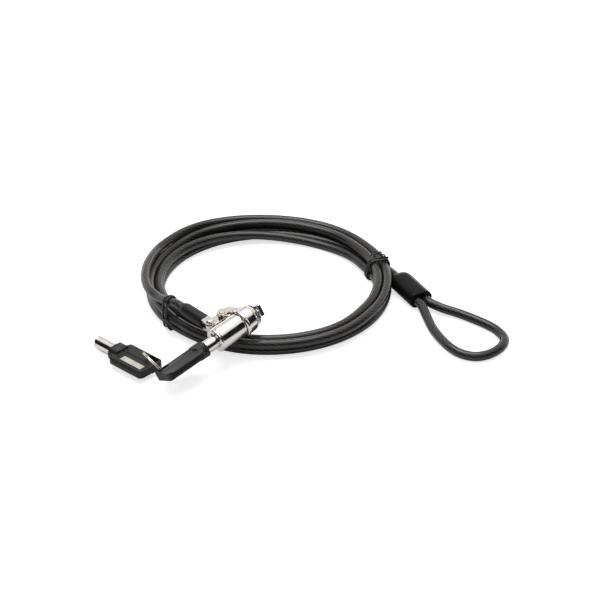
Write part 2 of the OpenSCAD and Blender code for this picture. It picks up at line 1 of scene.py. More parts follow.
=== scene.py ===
import bmesh
import bpy
import numpy as np
from math import radians, pi
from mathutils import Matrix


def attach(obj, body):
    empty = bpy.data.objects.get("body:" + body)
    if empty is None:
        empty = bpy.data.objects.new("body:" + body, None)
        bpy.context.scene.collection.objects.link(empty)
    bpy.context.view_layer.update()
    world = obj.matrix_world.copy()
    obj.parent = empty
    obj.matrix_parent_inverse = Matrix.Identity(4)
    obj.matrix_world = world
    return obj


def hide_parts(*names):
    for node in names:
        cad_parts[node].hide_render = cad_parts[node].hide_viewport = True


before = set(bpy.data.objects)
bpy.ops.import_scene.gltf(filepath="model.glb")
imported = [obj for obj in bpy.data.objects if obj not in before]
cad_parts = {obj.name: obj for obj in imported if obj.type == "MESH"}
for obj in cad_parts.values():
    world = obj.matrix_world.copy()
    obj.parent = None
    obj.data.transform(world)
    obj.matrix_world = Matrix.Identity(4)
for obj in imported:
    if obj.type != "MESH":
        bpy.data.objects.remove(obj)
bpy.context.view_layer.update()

# The view and the table. The lock lies on a white table under one large soft lamp, and is
# seen from 32 degrees above the table. All sizes below are in millimetres from the centre of
# the coil on the table, as the maker lays the cable out; the part's own origin is beside it.
ORIGIN = np.array([-42.02, -71.03, 0.0])


def on_table(points):
    """A place on the table: the point less the part's origin, in metres."""
    return (np.asarray(points, float) - ORIGIN) / 1000


VIEW_HEIGHT = radians(31.6)
VIEW_DISTANCE = 883
VIEW_CENTRE = np.array([15.71, 0, 5.9])
VIEW_DROP = 9.14  # the camera stands this far below the line to that centre
forward = np.array([0, np.cos(VIEW_HEIGHT), -np.sin(VIEW_HEIGHT)])
upward = np.array([0, np.sin(VIEW_HEIGHT), np.cos(VIEW_HEIGHT)])
camera = bpy.data.objects.new("camera", bpy.data.cameras.new("camera"))
camera.data.sensor_width = 36
camera.data.lens = 104.88
camera.data.clip_start = 0.01
camera.data.clip_end = 20
camera.location = on_table(VIEW_CENTRE - VIEW_DISTANCE * forward - VIEW_DROP * upward)
camera.rotation_euler = (pi / 2 - VIEW_HEIGHT, 0, 0)
bpy.context.scene.collection.objects.link(camera)
bpy.context.scene.camera = camera
bpy.context.scene.view_settings.view_transform = "Standard"


class Nodes:
    """A node tree with a short way to add nodes and join them."""

    def __init__(self, tree):
        self.tree = tree
        tree.nodes.clear()

    def add(self, kind, inputs=None, **settings):
        """Adds one node. inputs is what goes into each of its sockets: a value, or the socket
        of another node."""
        node = self.tree.nodes.new(kind)
        for name, value in settings.items():
            setattr(node, name, value)
        for key, value in (inputs or {}).items():
            socket = node.inputs[key]
            if isinstance(value, bpy.types.NodeSocket):
                self.tree.links.new(value, socket)
            else:
                socket.default_value = value
        return node

    def math(self, operation, a, b=0.0, c=0.0):
        """One arithmetic step on one, two or three values."""
        return self.add("ShaderNodeMath", {0: a, 1: b, 2: c}, operation=operation).outputs[0]

    def blend(self, factor, a, b):
        """The colour a where factor is 0, and b where it is 1."""
        node = self.add("ShaderNodeMix", {0: factor, 6: a, 7: b}, data_type="RGBA")
        return node.outputs[2]

    def between(self, value, low, high, start=0.0, end=1.0):
        """Start where value is low, end where it is high, and straight in between."""
        node = self.add(
            "ShaderNodeMapRange",
            {"Value": value, "From Min": low, "From Max": high, "To Min": start, "To Max": end},
        )
        return node.outputs[0]


world = bpy.data.worlds.new("studio")
bpy.context.scene.world = world
world.use_nodes = True
n = Nodes(world.node_tree)
path = n.add("ShaderNodeLightPath")
way = n.add("ShaderNodeSeparateXYZ", {0: n.add("ShaderNodeTexCoord").outputs["Generated"]})
# What polished things mirror: a bright ceiling, brightest overhead, the dark studio round the
# table, which reaches less high at the back, and the white sweep low behind the table.
height = way.outputs["Z"]
at_back = n.between(way.outputs["Y"], 0.15, 0.5)
dark = n.between(n.math("MULTIPLY_ADD", at_back, 0.3, height), 0.76, 0.68)
ceiling = n.blend(n.between(height, 0.5, 0.9), (0.5, 0.49, 0.47, 1), (1.1, 1.08, 1.05, 1))
mirrored = n.blend(dark, ceiling, (0.01, 0.01, 0.01, 1))
sweep = n.math("MULTIPLY", at_back, n.between(height, 0.6, 0.05))
mirrored = n.blend(sweep, mirrored, (1.7, 1.68, 1.64, 1))
seen = n.math("MAXIMUM", path.outputs["Is Glossy Ray"], path.outputs["Is Transmission Ray"])
tone = n.blend(seen, (0.42, 0.42, 0.42, 1), mirrored)
tone = n.blend(path.outputs["Is Camera Ray"], tone, (1, 1, 1, 1))
back = n.add("ShaderNodeBackground", {"Color": tone, "Strength": 1.0})
n.add("ShaderNodeOutputWorld", {"Surface": back.outputs[0]})

lamp = bpy.data.objects.new("softbox", bpy.data.lights.new("softbox", "AREA"))
lamp.data.shape = "RECTANGLE"
lamp.data.size = 0.7
lamp.data.size_y = 0.5
lamp.data.energy = 3.6
lamp.location = on_table([-60, 160, 780])
lamp.rotation_euler = (radians(-12), radians(-5), 0)
bpy.context.scene.collection.objects.link(lamp)

TABLE_REACH = 6.0  # metres, to each side
corners = TABLE_REACH * np.array([[-1, -1, 0], [1, -1, 0], [1, 1, 0], [-1, 1, 0]])
mesh = bpy.data.meshes.new("table_top")
mesh.from_pydata(corners, [], [(0, 1, 2, 3)])
table_top = bpy.data.objects.new("table_top", mesh)
bpy.context.scene.collection.objects.link(table_top)
white = bpy.data.materials.new("table_white")
white.use_nodes = True
n = Nodes(white.node_tree)
path = n.add("ShaderNodeLightPath")
# The camera sees the table brighter than it is lit, so that the shadows on it are faint. What
# polished things mirror of it gets darker beyond the coil.
seen = n.math("MULTIPLY_ADD", path.outputs["Is Camera Ray"], 0.64, 0.02)
place = n.add("ShaderNodeTexCoord").outputs["Object"]
from_centre = n.add("ShaderNodeVectorMath", {0: place}, operation="LENGTH").outputs["Value"]
beyond = n.between(from_centre, 0.12, 0.3, 0.0, 0.8)
darker = n.math("MULTIPLY", path.outputs["Is Glossy Ray"], beyond)
colour = n.blend(darker, (0.93, 0.93, 0.93, 1), (0, 0, 0, 1))
paint = n.add("ShaderNodeBsdfDiffuse", {"Color": colour})
glow = n.add("ShaderNodeEmission", {"Color": (1, 1, 1, 1), "Strength": seen})
both = n.add("ShaderNodeAddShader", {0: paint.outputs[0], 1: glow.outputs[0]})
n.add("ShaderNodeOutputMaterial", {"Surface": both.outputs[0]})
mesh.materials.append(white)

# The cable. A rope of steel strands in a clear, smoke-tinted vinyl jacket, made as one length
# and coiled as it leaves the factory: twice round below, up the inner side, and out again on top.
# Its last stretch leaves the coil at the left and runs up to the lock.
CABLE_D = 4.4
JACKET_R = CABLE_D / 2 + 0.1  # the soft jacket swells a little where the strands press
CABLE_SIDES = 20  # sides of the jacket's outline
CABLE_STEP = 1.15  # from one outline to the next along the cable
PITCH = 4.6  # from one turn to the turn beside it
COIL_R = 61.2
TIE_D = 1.1
LAYER_Z = TIE_D + 0.12 + CABLE_D / 2  # the lower layer's centre, where a tie passes under it
SAG = LAYER_Z - CABLE_D / 2 - 0.15  # how much lower the turns lie away from the ties
START_ANGLE = 27
TIE_ANGLES = np.array([216, 14])
DRIFT = 1.5  # how far the lower turns wander inward at their start
INNER_LANE = COIL_R - PITCH - DRIFT
TURNS = 157 / 36
STRAIGHT_LEN = 24  # from the coil to the loop's ferrule
EYE_Z = 4.2  # the middle of the loop's ferrule, which lies on the table
AWAY = np.array([np.sin(radians(START_ANGLE)), -np.cos(radians(START_ANGLE)), 0])
ACROSS = np.array([np.cos(radians(START_ANGLE)), np.sin(radians(START_ANGLE)), 0])
UP = np.array([0, 0, 1])


def ease(s):
    """3 s^2 - 2 s^3 with s held between 0 and 1: a soft step from 0 to 1."""
    s = np.clip(s, 0, 1)
    return s * s * (3 - 2 * s)


def lower_lane(turns):
    """Radius of the lower layer: it steps in by a strand over the last twelfth of a turn and
    the first seventh of the next."""
    whole = np.floor(turns)
    part = turns - whole
    step_in = (PITCH - DRIFT) * ease((part - 0.92) / 0.08)
    return COIL_R - PITCH * whole - DRIFT * ease(part / 0.15) - step_in


def upper_lane(turns):
    """Radius of the upper layer: from the inner lane out by one strand, at turn 3 to 3.4."""
    return INNER_LANE + (PITCH + 0.05) * ease((turns - 3) / 0.4)


def coil_point(turns):
    """The cable's centre after so many turns: two turns in the lower lane, a quarter circle up
    round the strand beside it, the upper lane, and at the end a lift over the strand inside.
    The upper layer leans outward at the front and back, and the lower one sags between ties."""
    t = np.asarray(turns, float)
    degrees_round = START_ANGLE + 360 * t
    angle = np.radians(degrees_round)
    lean = 2.15 * ease((np.abs(np.sin(angle)) - 0.5) / 0.4)
    climb = np.pi - np.pi / 2 * ease((t - 2.08) / 0.32)
    lift = 3.6 * ease((t - 4.15) / 0.25)
    rest_beside = np.sqrt((PITCH + 0.02) ** 2 - lift**2)
    stage = [t < 2, t < 2.4, t < 4]
    radius = np.select(
        stage,
        [lower_lane(t), lower_lane(t - 1) + PITCH * np.cos(climb), upper_lane(t) + lean],
        upper_lane(t - 1) + rest_beside + lean,
    )
    above = np.select(stage, [0 * t, PITCH * np.sin(climb), PITCH + 0 * t], PITCH + lift)
    from_tie = np.abs((degrees_round[..., None] - TIE_ANGLES + 540) % 360 - 180).min(-1)
    height = LAYER_Z - SAG * ease((from_tie - 8) / 35) + above
    return np.stack([radius * np.cos(angle), 1 + 0.98 * radius * np.sin(angle), height], -1)


def curve_through(points, before, after, steps):
    """A smooth curve through the points: each span is the cubic whose slope at a point is half
    the way from the point before to the point after. before and after set the two end slopes."""
    p = np.vstack([before, points, after])
    a, b, c, e = (p[k : len(p) - 3 + k, None] for k in range(4))
    u = (np.arange(steps) / steps)[None, :, None]
    spans = 2 * b + (c - a) * u + (2 * a - 5 * b + 4 * c - e) * u**2
    spans += (3 * b - a - 3 * c + e) * u**3
    return np.vstack([0.5 * spans.reshape(-1, 3), points[-1]])


def unit(v):
    """Each vector divided by its own length."""
    return v / np.linalg.norm(v, axis=-1, keepdims=True)


def evenly(path, gap):
    """The same path with a point every gap: the places at equal steps of its length."""
    run = np.concatenate([[0], np.cumsum(np.linalg.norm(np.diff(path, axis=0), axis=1))])
    at = np.linspace(0, run[-1], max(2, int(round(run[-1] / gap)) + 1))
    return np.stack([np.interp(at, run, path[:, k]) for k in range(3)], -1)


def carry(path, outline, level=(0, 0, 1)):
    """Rings of an outline carried along a path. The path's heading is its slope; the outline's
    first axis is level cross heading, and its second is heading cross the first."""
    heading = unit(np.gradient(path, axis=0))
    side = unit(np.cross(np.broadcast_to(level, heading.shape), heading))
    top = np.cross(heading, side)
    outline = np.asarray(outline)[None]
    return path[:, None] + outline[..., :1] * side[:, None] + outline[..., 1:] * top[:, None]


def circle(radius, count):
    """Points of a circle: radius times the cosine and the sine of equal steps."""
    a = 2 * pi * np.arange(count) / count
    return np.stack([radius * np.cos(a), radius * np.sin(a)], -1)


def skin(name, rings, closed=False, sharp=None):
    """A closed skin over rings of points, in metres: point k of a ring is joined to point k of
    the next, and with closed also the last ring to the first. In its UV map u goes once round,
    and v along in the same unit as round. An open skin gets a face on its first and last ring.
    The faces are turned outward: the volume they enclose comes out above nought."""
    rings = np.asarray(rings, float)
    count, across = rings.shape[:2]
    k = np.arange(across)
    nxt = (k + 1) % across
    row = np.arange(count if closed else count - 1)[:, None]
    low, high = row * across, (row + 1) % count * across
    quads = np.stack([low + k, low + nxt, high + nxt, high + k], -1).reshape(-1, 4)
    points = rings.reshape(-1, 3)
    near = points - points.mean(0)
    p, q, r, s = (near[quads[:, j]] for j in range(4))
    volume = (p * np.cross(q, r) + p * np.cross(r, s)).sum()
    faces = quads.tolist()
    round_it = np.linalg.norm(np.roll(rings, -1, 1) - rings, axis=-1).sum(1).mean()
    step = np.linalg.norm(np.roll(rings, -1, 0) - rings, axis=-1).mean(1)
    run = (np.concatenate([[0], np.cumsum(step)]) / round_it)[: len(row) + 1]
    u = np.stack([k, k + 1, k + 1, k], -1)[None] / across + 0 * run[:-1, None, None]
    v = np.stack([run[:-1], run[:-1], run[1:], run[1:]], -1)[:, None] + 0 * u
    uv = np.stack([u, v], -1).reshape(-1, 2)
    if not closed:
        faces += [k[::-1].tolist(), (k + (count - 1) * across).tolist()]
        uv = np.vstack([uv, np.zeros((2 * across, 2))])
    mesh = bpy.data.meshes.new(name)
    mesh.from_pydata(points, [], faces)
    mesh.uv_layers.new(name="wound").data.foreach_set("uv", uv.ravel())
    if volume < 0:
        mesh.flip_normals()
    mesh.shade_smooth()
    if sharp is not None:
        mesh.set_sharp_from_angle(angle=radians(sharp))
    piece = bpy.data.objects.new(name, mesh)
    bpy.context.scene.collection.objects.link(piece)
    return piece


def finish_of(name, settings):
    """A new material with a Principled BSDF: returns the material, its nodes and the shader.
    Settings that are the same all over are set on the shader's own sockets."""
    material = bpy.data.materials.new(name)
    material.use_nodes = True
    nodes = Nodes(material.node_tree)
    shader = nodes.add("ShaderNodeBsdfPrincipled", settings)
    nodes.add("ShaderNodeOutputMaterial", {"Surface": shader.outputs[0]})
    return material, nodes, shader


jacket, n, shader = finish_of("smoke_vinyl_over_wire_rope", {
    "IOR": 1.5, "Specular IOR Level": 0.12,
    "Coat Weight": 0.85, "Coat Roughness": 0.12, "Coat IOR": 1.5,
})
wound = n.add("ShaderNodeSeparateXYZ", {0: n.add("ShaderNodeUVMap", uv_map="wound").outputs[0]})
round_rope, along_rope = wound.outputs["X"], wound.outputs["Y"]
# Nine strands round the rope, laid right-handed: a strand's crown is the sine of its phase.
turn = n.math("SUBTRACT", n.math("MULTIPLY", round_rope, 9), n.math("MULTIPLY", along_rope, 3.9))
strand = n.math("ABSOLUTE", n.math("SINE", n.math("MULTIPLY", turn, pi)))
crown = n.math("POWER", strand, 0.7)
# The wires of a strand lie nearly along the rope.
fine = n.math("ADD", n.math("MULTIPLY", round_rope, 24), n.math("MULTIPLY", along_rope, 1.5))
wire = n.math("ABSOLUTE", n.math("SINE", n.math("MULTIPLY", fine, pi)))
at = n.add("ShaderNodeTexCoord").outputs["Object"]
cloud = n.add("ShaderNodeTexNoise", {"Vector": at, "Scale": 90.0, "Detail": 3.0, "Roughness": 0.6})
steel = n.math("MULTIPLY", crown, n.math("MULTIPLY_ADD", wire, 0.35, 0.65))
steel = n.math("MULTIPLY", steel, n.between(cloud.outputs["Fac"], 0.3, 0.7, 0.6, 1.1))
tint = n.blend(steel, (0.002, 0.002, 0.002, 1), (0.05, 0.047, 0.046, 1))
height = n.math("MULTIPLY_ADD", wire, 0.12, crown)
relief = n.add("ShaderNodeBump", {"Height": height, "Strength": 0.7, "Distance": 0.0003})
n.tree.links.new(tint, shader.inputs["Base Color"])
n.tree.links.new(relief.outputs[0], shader.inputs["Normal"])
n.tree.links.new(n.between(steel, 0.0, 1.0, 0.1, 0.5), shader.inputs["Metallic"])
rough = n.between(cloud.outputs["Fac"], 0.3, 0.7, 0.36, 0.46)
n.tree.links.new(rough, shader.inputs["Roughness"])

LOCK_AT = np.array([-24.16, -68.37, 14.6])
LOCK_PITCH = radians(11)
LOCK_YAW = radians(42)


def turned(x, y, z):
    """The turn about X, then Y, then Z by these angles, as a matrix."""
    cx, sx, cy, sy, cz, sz = np.cos(x), np.sin(x), np.cos(y), np.sin(y), np.cos(z), np.sin(z)
    about_x = np.array([[1, 0, 0], [0, cx, -sx], [0, sx, cx]])
    about_y = np.array([[cy, 0, sy], [0, 1, 0], [-sy, 0, cy]])
    about_z = np.array([[cz, -sz, 0], [sz, cz, 0], [0, 0, 1]])
    return about_z @ about_y @ about_x


LOCK_AXES = turned(0, -LOCK_PITCH, LOCK_YAW)


def in_lock(points):
    """A place on the lock, whose origin is the middle of its rear face, with X to the nose."""
    return LOCK_AT + np.asarray(points, float) @ LOCK_AXES.T


LINK_Z = 1.0
STUD_PIN = (5.6, 9.4)
MOUTH_Y = 13.3
LOCK_FERRULE_LEN = 17.5
lead_end = in_lock([STUD_PIN[0], MOUTH_Y + LOCK_FERRULE_LEN, LINK_Z])
toward_ferrule = -LOCK_AXES[:, 1]

# The route: from the loop's ferrule straight to the coil, round it, and up to the lock.
out = np.linspace(STRAIGHT_LEN, 0, 25)[:-1, None]
rise = UP * (EYE_Z - LAYER_Z) * ease((out - 10) / (STRAIGHT_LEN - 12))
straight = coil_point(0) + AWAY * out + rise
wound_turns = coil_point(np.linspace(0, TURNS, 1600))
lead = np.array([
    coil_point(TURNS), [-61.1, 10.5, 11.8], [-61.9, -1, 12.3], [-60.9, -11, 12.4],
    [-58, -19.6, 12.6], [-53.2, -26.9, 13.2], [-48.2, -33.6, 15.2],
    lead_end - toward_ferrule * CABLE_D, lead_end,
])
lead = curve_through(lead, coil_point(TURNS - 0.027), lead_end + toward_ferrule * 4, 12)
line = evenly(np.vstack([straight, wound_turns[:-1], lead]), CABLE_STEP)
cable = skin("cable", on_table(carry(line, circle(JACKET_R, CABLE_SIDES))))
cable.data.materials.append(jacket)
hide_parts("cable_coil", "cable_lead")
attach(cable, "cable")

# The anchor loop. The same cable goes on past its ferrule, round in a loop that lies on the
# table, and back into the ferrule beside itself.
EYE_FERRULE_LEN = 24
STRAND_OFF = 2.6  # from the ferrule's middle to each of its two strands
STRAIGHT_OUT = 4.5  # how far a strand keeps its direction outside the ferrule
eye_at = coil_point(0) + AWAY * STRAIGHT_LEN + [0, 0, EYE_Z - LAYER_Z]
near_mouth = eye_at + AWAY * EYE_FERRULE_LEN - ACROSS * STRAND_OFF
far_mouth = eye_at + AWAY * EYE_FERRULE_LEN + ACROSS * STRAND_OFF
loop = np.array([
    near_mouth, near_mouth + AWAY * STRAIGHT_OUT, [78.5, -30, 2.8], [81, -40, 2.3],
    [86, -52, 2.3], [91.5, -59.5, 2.3], [98.5, -62.8, 2.3], [105.5, -61, 2.3],
    [111.5, -55.5, 2.3], [114.4, -48.5, 2.3], [112.5, -41.5, 2.3], [107.5, -34.8, 2.3],
    [96, -25.5, 2.4], [86.5, -20.8, 3.2], far_mouth + AWAY * STRAIGHT_OUT, far_mouth,
])
loop = curve_through(loop, near_mouth - AWAY * STRAIGHT_OUT, far_mouth - AWAY * STRAIGHT_OUT, 12)
loop_line = evenly(loop, CABLE_STEP)
anchor_loop = skin("anchor_loop", on_table(carry(loop_line, circle(JACKET_R, CABLE_SIDES))))
anchor_loop.data.materials.append(jacket)
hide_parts("eye_cable")
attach(anchor_loop, "cable")

# The loop's ferrule. Two strands of the cable are crimped side by side in a metal ferrule, and
# a black sleeve is moulded over it: a flattened tube with a round shoulder towards the coil and
# an open mouth, in which the strands can be seen to go in.
def node_group(name, inputs, outputs):
    """An empty shader node group. inputs gives the kind of each socket that goes in, and
    outputs of each that comes out. Returns the group, its nodes and what comes in."""
    group = bpy.data.node_groups.new(name, "ShaderNodeTree")
    for way_through, sockets in (("INPUT", inputs), ("OUTPUT", outputs)):
        for socket, kind in sockets.items():
            group.interface.new_socket(socket, in_out=way_through, socket_type="NodeSocket" + kind)
    nodes = Nodes(group)
    return group, nodes, nodes.add("NodeGroupInput").outputs


def surfaced(nodes, shader, group, values):
    """Places a node group in a material: it gets the place on the piece and its own values,
    and its outputs go to the shader's sockets of the same names."""
    at = nodes.add("ShaderNodeTexCoord").outputs["Object"]
    node = nodes.add("ShaderNodeGroup", {"Place": at, **values}, node_tree=group)
    for output in node.outputs:
        nodes.tree.links.new(output, shader.inputs[output.name])


# The skin of black plastic and rubber: a fine grain in relief, and larger clouds in which the
# colour goes from Dark to Light and the roughness from Smooth to Rough.
moulded_skin, n, given = node_group(
    "moulded_skin",
    {
        "Place": "Vector", "Dark": "Color", "Light": "Color", "Smooth": "Float", "Rough": "Float",
        "Grain Scale": "Float", "Grain Detail": "Float", "Grain Strength": "Float",
        "Grain Depth": "Float", "Cloud Scale": "Float", "Cloud Detail": "Float",
        "Cloud Roughness": "Float",
    },
    {"Base Color": "Color", "Roughness": "Float", "Normal": "Vector"},
)
grain = n.add("ShaderNodeTexNoise", {
    "Vector": given["Place"], "Scale": given["Grain Scale"], "Detail": given["Grain Detail"],
})
cloud = n.add("ShaderNodeTexNoise", {
    "Vector": given["Place"], "Scale": given["Cloud Scale"], "Detail": given["Cloud Detail"],
    "Roughness": given["Cloud Roughness"],
}).outputs["Fac"]
relief = n.add("ShaderNodeBump", {
    "Height": grain.outputs["Fac"], "Strength": given["Grain Strength"],
    "Distance": given["Grain Depth"],
})
n.add("NodeGroupOutput", {
    "Base Color": n.blend(cloud, given["Dark"], given["Light"]),
    "Roughness": n.between(cloud, 0.3, 0.7, given["Smooth"], given["Rough"]),
    "Normal": relief.outputs[0],
})

vinyl_black, n, shader = finish_of("black_satin_moulding", {
    "Specular IOR Level": 0.1, "Coat Roughness": 0.2,
})
surfaced(n, shader, moulded_skin, {
    "Grain Scale": 4200, "Grain Detail": 2, "Grain Strength": 0.12, "Grain Depth": 0.0001,
    "Cloud Scale": 160, "Cloud Detail": 3, "Cloud Roughness": 0.5,
    "Dark": (0.004, 0.004, 0.004, 1), "Light": (0.008, 0.008, 0.008, 1),
    "Smooth": 0.34, "Rough": 0.44,
})
# A painted highlight: the clear coat is laid only where the skin faces upward and is seen at a
# slant, so a shine shows along its upper edge.
slant = n.between(n.add("ShaderNodeLayerWeight", {"Blend": 0.5}).outputs["Facing"], 0.5, 0.8)
normal = n.add("ShaderNodeNewGeometry").outputs["Normal"]
facing_up = n.between(n.add("ShaderNodeSeparateXYZ", {0: normal}).outputs["Z"], 0.2, 0.7)
n.tree.links.new(n.math("MULTIPLY", slant, facing_up), shader.inputs["Coat Weight"])


def flat_oval(half_flat, radius):
    """A flattened circle: the points of a circle, moved apart by half_flat to each side."""
    a = 2 * pi * (np.arange(48) + 0.5) / 48
    half_flat, radius = np.asarray(half_flat)[..., None], np.asarray(radius)[..., None]
    return np.stack([radius * np.cos(a) + half_flat * np.sign(np.cos(a)), radius * np.sin(a)], -1)


SLEEVE_FLAT = 2.2  # half the flat between its two round sides, whose radius is 4.1
SHOULDER = 4  # how long the round shoulder is
s = np.concatenate([SHOULDER * (1 - np.cos(np.linspace(0, pi / 2, 9))), [8, 12, 16, 20, 22.6]])
bulge = np.sqrt(1 - (1 - np.clip(s / SHOULDER, 0, 1)) ** 2)
lip = np.linspace(0, pi, 9)[1:]
along = np.concatenate([s, 23.2 + 0.7 * np.sin(lip), [22.4, 21.2]])
flat = np.concatenate([SLEEVE_FLAT * bulge, SLEEVE_FLAT + 0 * lip, [SLEEVE_FLAT] * 2])
round_r = np.concatenate([2.8 + 1.3 * bulge, 3.2 + 0.9 * np.cos(lip), [2.35, 2.3]])
spine = eye_at + AWAY * (along[:, None] + 0.05)
side = np.cross(UP, AWAY)
oval = flat_oval(flat, round_r)
rings = spine[:, None] + oval[..., :1] * side + oval[..., 1:] * UP
loop_ferrule = skin("loop_ferrule", on_table(rings), sharp=50)
loop_ferrule.data.materials.append(vinyl_black)
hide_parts("eye_ferrule")
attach(loop_ferrule, "cable")

# The twist ties. A plastic-covered wire goes two or three times round the bundle, is pulled
# tight, and its two ends are twisted together into a short pigtail.
tie_vinyl, n, shader = finish_of("black_tie_vinyl", {
    "Specular IOR Level": 0.5, "Coat Weight": 0.3, "Coat Roughness": 0.25,
})
surfaced(n, shader, moulded_skin, {
    "Grain Scale": 700, "Grain Detail": 3, "Grain Strength": 0.3, "Grain Depth": 0.0001,
    "Cloud Scale": 700, "Cloud Detail": 3, "Cloud Roughness": 0.5,
    "Dark": (0.008, 0.008, 0.008, 1), "Light": (0.035, 0.034, 0.034, 1),
    "Smooth": 0.35, "Rough": 0.55,
})


def strands_at(angle):
    """The centres of the cable's strands, seen in the upright plane at that angle round the
    coil, as distance from the coil's centre and height: where the cable's line crosses it."""
    axis = np.array([np.cos(angle), np.sin(angle)])
    beside = line[:, 1] * axis[0] - line[:, 0] * axis[1]
    outward = line[:, :2] @ axis
    cross = np.nonzero((beside[:-1] * beside[1:] <= 0) & (outward[:-1] > 0))[0]
    part = (beside[cross] / (beside[cross] - beside[cross + 1]))[:, None]
    point = line[cross] * (1 - part) + line[cross + 1] * part
    return np.stack([point[:, :2] @ axis, point[:, 2]], -1)


def band(centres, start, turns, gap, rise):
    """A wire pulled tight round circles: in each direction the circle that reaches furthest
    gives the point, its centre plus its radius in that direction. rise is how much further out
    the last turn ends than the first begins."""
    phi = start + 2 * pi * np.linspace(0, turns, int(90 * turns) + 1)
    way = np.stack([np.cos(phi), np.sin(phi)], -1)
    far = centres[np.argmax(way @ centres.T, axis=1)]
    reach = CABLE_D / 2 + gap + rise * np.linspace(0, 1, len(phi))
    return far + reach[:, None] * way, phi


def twisted(path, apart, turns, radius):
    """Two wires twisted round a path: each keeps to a circle of radius apart round it, half a
    turn from the other, and goes round the given number of times."""
    rings = []
    level = unit(np.array([0.3, 0.2, 1.0]))
    heading = unit(np.gradient(path, axis=0))
    side = unit(np.cross(heading, level))
    top = np.cross(heading, side)
    a = 2 * pi * turns * np.linspace(0, 1, len(path))[:, None]
    for half in (0, pi):
        wire = path + apart * (np.cos(a + half) * side + np.sin(a + half) * top)
        rings.append(carry(wire, circle(radius, 10), level=level))
    return rings


def joined(name, pieces):
    """One piece made of several."""
    with bpy.context.temp_override(active_object=pieces[0], selected_editable_objects=pieces):
        bpy.ops.object.join()
    pieces[0].name = name
    pieces[0].data.name = name
    return pieces[0]


WIRE_R = 0.48  # the tie's wire with its plastic cover
TABLE_GAP = 0.5  # a tie's wire lies on the table under the bundle


def twist_tie(name, angle, start, turns, inside, pigtail, apart, twists):
    """A tie round the coil at an angle: a band of a few turns that lean across each other, round
    the strands that lie less far out than inside, then the pigtail along its own points, given
    as outward, along the bundle and up. Its wires keep that far apart over that many twists."""
    outward = np.array([np.cos(angle), np.sin(angle), 0])
    frame_at = np.array([outward, np.cross(UP, outward), UP])
    centres = strands_at(angle)
    flat, phi = band(centres[centres[:, 0] < inside], start, turns, 0.5, 0.5)
    lean = 1.7 * np.cos((phi - start) / turns)
    loop_path = np.stack([flat[:, 0], lean, np.maximum(flat[:, 1], TABLE_GAP)], -1)
    loop_path = evenly(loop_path, 0.5) @ frame_at
    rings = carry(loop_path, circle(WIRE_R, 10), level=unit(frame_at[1] + 0.02))
    parts = [skin(name + "_band", on_table(rings))]
    tail = curve_through(np.array(pigtail), pigtail[0], pigtail[-1], 10) @ frame_at
    for rings in twisted(evenly(tail, 0.35), apart, twists, 0.4):
        parts.append(skin(name + "_end", on_table(rings)))
    tie = joined(name, parts)
    tie.data.materials.append(tie_vinyl)
    return tie


left = twist_tie(
    "twist_tie_left", radians(216), radians(-60), 2, 70,
    [(61.4, 1.0, 5.0), (62.8, 0.4, 6.4), (63.0, 3.0, 7.6), (62.8, 6.0, 7.2), (62.6, 9.0, 6.0)],
    0.42, 3.5,
)
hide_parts("left_tie")
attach(left, "cable")
right = twist_tie(
    "twist_tie_right", radians(14), radians(80), 3, 62,
    [(54.8, 2.7, 11.5), (57.2, 4.4, 12.6), (58.8, 2.8, 13.0), (60.3, 0.7, 12.2), (62.0, -1.0, 11.4)],
    0.7, 2.2,
)
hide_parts("right_tie")
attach(right, "cable")

# The hinge at the lock's end of the cable. A crimp sleeve under black shrink tube holds the
# rope and a forged stud. The stud's eyes, a flat link and the collar's ear are joined by two
# rivets, so the lock folds back along the cable. The metal is nickel-plated and polished.
def rounded_off(corners, radius):
    """A closed outline with its corners rounded: each corner becomes the curve that starts and
    ends the radius away from it, or just under half a side where the side is short."""
    p = np.asarray(corners, float)

    def toward(side):
        length = np.linalg.norm(side, axis=1)
        return side * (np.minimum(radius, 0.45 * length) / length)[:, None]

    a = (p + toward(np.roll(p, 1, 0) - p))[:, None]
    b = (p + toward(np.roll(p, -1, 0) - p))[:, None]
    u = np.linspace(0, 1, 5)[None, :, None]
    return ((1 - u) ** 2 * a + 2 * u * (1 - u) * p[:, None] + u**2 * b).reshape(-1, 2)


def lathe(name, outline, place=in_lock, count=96):
    """A turned piece: a closed outline of places along and out from an axis goes round it. place
    puts the piece's own points, with its axis along X, where they are on the part."""
    a = 2 * pi * np.arange(count) / count
    along, out = outline[:, :1], outline[:, 1:]
    rings = np.stack([along + 0 * a, out * np.cos(a), out * np.sin(a)], -1)
    return skin(name, on_table(place(rings)), closed=True)


def softened(name, node, width):
    """A copy of a CAD piece with its edges rounded to a width in millimetres: its triangles are
    joined, flat neighbours merged, and edges sharper than 25 degrees bevelled."""
    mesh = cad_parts[node].data.copy()
    mesh.name = name
    mesh.materials.clear()
    work = bmesh.new()
    work.from_mesh(mesh)
    bmesh.ops.remove_doubles(work, verts=work.verts, dist=2e-6)
    bmesh.ops.dissolve_limit(work, angle_limit=radians(1), verts=work.verts, edges=work.edges)
    work.to_mesh(mesh)
    work.free()
    mesh.shade_smooth()
    piece = bpy.data.objects.new(name, mesh)
    bpy.context.scene.collection.objects.link(piece)
    bevel = piece.modifiers.new("rounded_edges", "BEVEL")
    bevel.width = width / 1000
    bevel.segments = 3
    bevel.angle_limit = radians(25)
    bevel.harden_normals = True
    piece.modifiers.new("even_shading", "WEIGHTED_NORMAL").keep_sharp = True
    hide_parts(node)
    return piece


def dressed(piece, material, body):
    """Gives a piece its finish and lets it ride on a body."""
    piece.data.materials.clear()
    piece.data.materials.append(material)
    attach(piece, body)
    return piece


